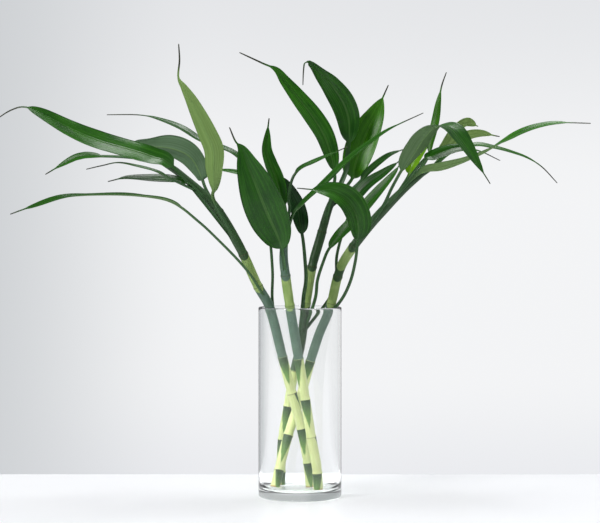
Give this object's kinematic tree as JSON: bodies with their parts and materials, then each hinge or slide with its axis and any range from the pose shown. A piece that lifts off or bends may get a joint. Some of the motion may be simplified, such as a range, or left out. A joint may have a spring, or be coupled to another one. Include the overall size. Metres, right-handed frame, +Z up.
{
  "type": "lucky bamboo in a glass vase",
  "caption": "Lucky bamboo canes with long arching leaves, standing in a clear glass cylinder vase; rests on the vase's flat base.",
  "frame": {"origin": "centre of the vase's flat underside, where it stands on a table", "axes": "+Z up along the vase's axis; +X to the right and -Y towards a viewer who sees the tall leaves' front"},
  "size_m": [0.6055, 0.1932, 0.4731],
  "materials": {
    "vase_glass": "gloss",
    "cane_green": "satin",
    "leaf_green": "satin"
  },
  "bodies": {
    "root": {"vase": "vase_glass", "stem_left": "cane_green", "stem_front": "cane_green", "stem_back": "cane_green", "stem_right": "cane_green", "left_broad_leaf": "leaf_green", "left_folded_leaf": "leaf_green", "left_arching_leaf": "leaf_green", "left_rear_leaf": "leaf_green", "left_upright_leaf": "leaf_green", "left_tip_leaf": "leaf_green", "left_thin_leaf": "leaf_green", "left_dark_leaf": "leaf_green", "front_broad_leaf": "leaf_green", "front_upright_leaf": "leaf_green", "front_diagonal_leaf": "leaf_green", "front_thin_leaf": "leaf_green", "front_side_leaf": "leaf_green", "back_shadow_leaf": "leaf_green", "back_tall_leaf": "leaf_green", "back_hooked_leaf": "leaf_green", "back_bright_leaf": "leaf_green", "back_strap_leaf": "leaf_green", "back_dark_leaf": "leaf_green", "back_thin_leaf": "leaf_green", "right_drooping_leaf": "leaf_green", "right_long_leaf": "leaf_green", "right_falling_leaf": "leaf_green", "right_small_leaf": "leaf_green", "right_upright_leaf": "leaf_green", "right_crown_leaf": "leaf_green", "right_curled_leaf": "leaf_green", "right_pale_leaf": "leaf_green", "right_young_leaf": "leaf_green", "right_low_leaf": "leaf_green"}
  },
  "joints": []
}
